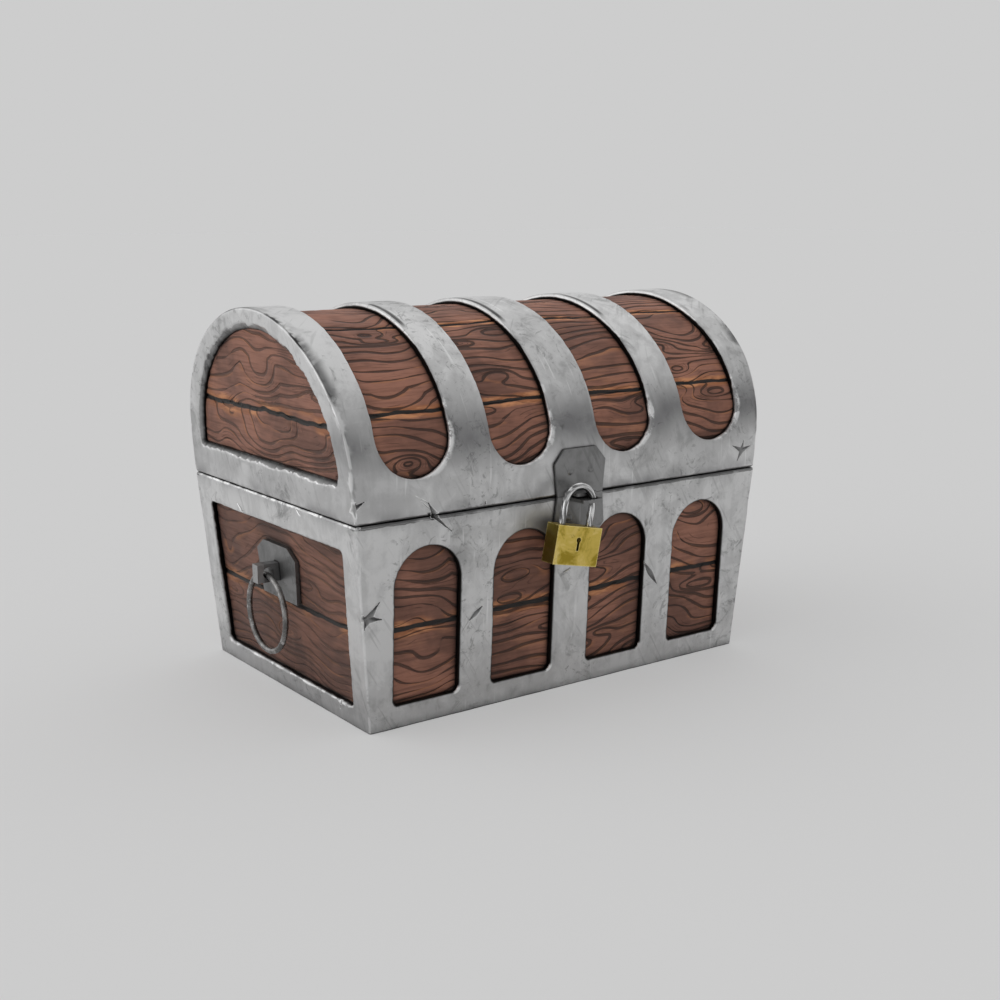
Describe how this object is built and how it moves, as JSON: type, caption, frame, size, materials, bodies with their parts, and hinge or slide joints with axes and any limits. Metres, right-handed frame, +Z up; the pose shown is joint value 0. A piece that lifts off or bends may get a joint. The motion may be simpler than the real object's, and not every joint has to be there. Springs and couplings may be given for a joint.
{
  "type": "chest",
  "caption": "Steel-bound plank chest with an arched lid on rear hinges, arched windows in its frames, ring handles on the ends and a padlock on the hasp",
  "frame": {"origin": "on the ground at the middle of the box's footprint", "axes": "+X along the length to the right, -Y to the front with the hasp, +Z up"},
  "size_m": [0.639, 0.4485, 0.46],
  "materials": {
    "boards": "dark stained boards with carved grain",
    "floor": "bare dark board",
    "steel_frames": "pale grey steel, scratched and dented, with bright worn edges",
    "hasp_steel": "dark grey steel, dull",
    "handle_steel": "dark grey steel, dull",
    "ring_steel": "dark forged iron with bright rubs",
    "hinge_steel": "dark forged iron",
    "rivets": "dark hammered heads",
    "shackle": "polished steel bar",
    "lock_brass": "satin brass, rubbed at the edges"
  },
  "bodies": {
    "base": {"front_plank_lower": "boards", "front_plank_upper": "boards", "back_plank_lower": "boards", "back_plank_upper": "boards", "left_plank_lower": "boards", "left_plank_upper": "boards", "right_plank_lower": "boards", "right_plank_upper": "boards", "floor_board": "floor", "front_frame": "steel_frames", "back_frame": "steel_frames", "left_frame": "steel_frames", "right_frame": "steel_frames", "hasp_lower_plate": "hasp_steel", "left_handle_plate": "handle_steel", "right_handle_plate": "handle_steel", "left_handle_nut": "handle_steel", "right_handle_nut": "handle_steel", "left_hinge_base_leaf": "hinge_steel", "right_hinge_base_leaf": "hinge_steel", "hinge_pins": "hinge_steel", "hasp_lower_rivets": "rivets", "hinge_base_rivets": "rivets"},
    "lid": {"lid_stave_front": "boards", "lid_stave_front_upper": "boards", "lid_stave_top": "boards", "lid_stave_back_upper": "boards", "lid_stave_back": "boards", "lid_left_board_lower": "boards", "lid_left_board_upper": "boards", "lid_right_board_lower": "boards", "lid_right_board_upper": "boards", "lid_left_frame": "steel_frames", "lid_right_frame": "steel_frames", "lid_front_rail": "steel_frames", "lid_back_rail": "steel_frames", "lid_band_left_end": "steel_frames", "lid_band_left": "steel_frames", "lid_band_middle": "steel_frames", "lid_band_right": "steel_frames", "lid_band_right_end": "steel_frames", "hasp_upper_plate": "hasp_steel", "left_hinge_lid_leaf": "hinge_steel", "right_hinge_lid_leaf": "hinge_steel", "hasp_upper_rivets": "rivets", "hinge_lid_rivets": "rivets"},
    "left_ring": {"left_handle_ring": "ring_steel"},
    "right_ring": {"right_handle_ring": "ring_steel"},
    "shackle": {"padlock_shackle": "shackle"},
    "padlock": {"padlock_body": "lock_brass"},
    "plug": {"padlock_plug": "lock_brass"}
  },
  "joints": [
    {"name": "lid_hinge", "type": "hinge", "parent": "base", "child": "lid", "pos_m": [0, 0.2075, 0.24025], "axis": [-1, 0, 0], "range_deg": [0, 100]},
    {"name": "left_ring_swing", "type": "hinge", "parent": "base", "child": "left_ring", "pos_m": [-0.3055, 0, 0.15], "axis": [0, 1, 0], "range_deg": [-13, 150]},
    {"name": "right_ring_swing", "type": "hinge", "parent": "base", "child": "right_ring", "pos_m": [0.3055, 0, 0.15], "axis": [0, -1, 0], "range_deg": [-13, 150]},
    {"name": "shackle_swing", "type": "hinge", "parent": "base", "child": "shackle", "pos_m": [0.007, -0.2245, 0.2365], "axis": [0, -1, 0], "range_deg": [-1, 13]},
    {"name": "padlock_release", "type": "slide", "parent": "shackle", "child": "padlock", "axis": [-0.1994, 0, -0.9799], "range_m": [0, 0.011]},
    {"name": "plug_turn", "type": "hinge", "parent": "padlock", "child": "plug", "pos_m": [-0.02354, -0.2245, 0.18924], "axis": [0, 1, 0], "range_deg": [0, 90]}
  ]
}
